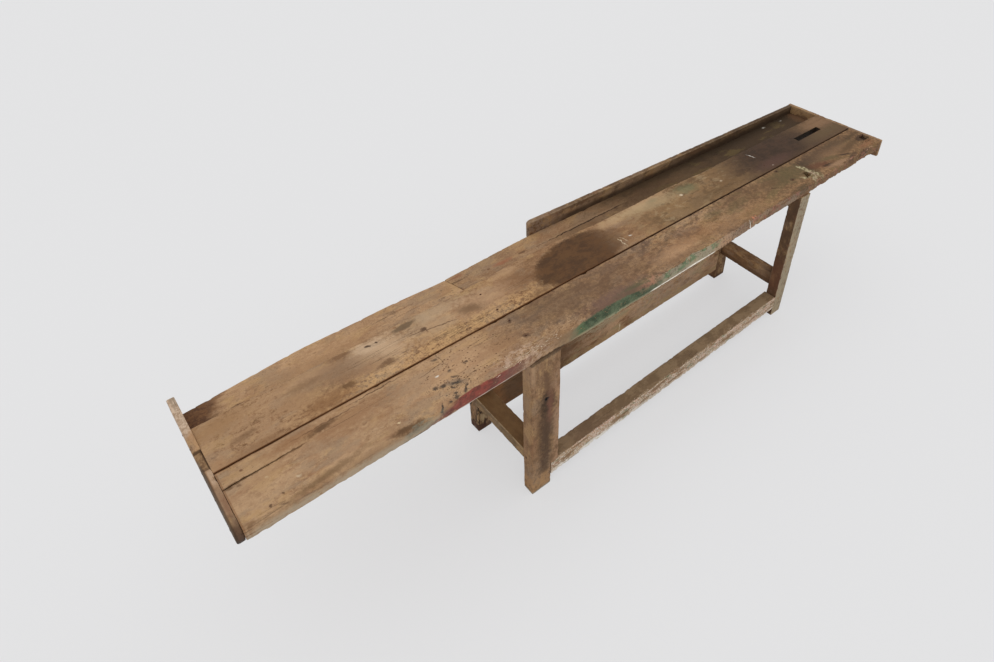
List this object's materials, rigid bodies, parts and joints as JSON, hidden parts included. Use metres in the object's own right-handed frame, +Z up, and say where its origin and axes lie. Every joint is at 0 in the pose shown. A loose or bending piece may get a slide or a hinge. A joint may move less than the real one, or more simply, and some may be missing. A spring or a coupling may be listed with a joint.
{
  "type": "workbench",
  "caption": "Long narrow wooden joiner's bench: two thick planks on a pegged leg frame, with end boards, a slot and a tool tray behind.",
  "frame": {"origin": "on the floor under the middle of the bench", "axes": "+X along the bench towards the end with the slot, +Y towards the tool tray, +Z up"},
  "size_m": [3.255, 0.585, 0.795],
  "materials": {
    "plank_wood": "weathered, oil-stained, worn paint on the front edge",
    "board_wood": "weathered, dusty",
    "frame_wood": "weathered, scuffed",
    "peg_wood": "weathered end grain",
    "nail_iron": "rusted"
  },
  "bodies": {
    "root": {"front_slab": "plank_wood", "rear_slab": "plank_wood", "left_end_board": "board_wood", "right_end_board": "board_wood", "tray_floor_left": "board_wood", "tray_floor_right": "board_wood", "tray_rail": "board_wood", "front_left_leg": "frame_wood", "rear_left_leg": "frame_wood", "front_right_leg": "frame_wood", "rear_right_leg": "frame_wood", "left_bearer": "frame_wood", "right_bearer": "frame_wood", "left_end_stretcher": "frame_wood", "right_end_stretcher": "frame_wood", "front_stretcher": "frame_wood", "rear_stretcher": "frame_wood", "slab_nails": "nail_iron", "end_board_nails": "nail_iron", "tray_nails": "nail_iron", "draw_pegs": "peg_wood"}
  },
  "joints": []
}
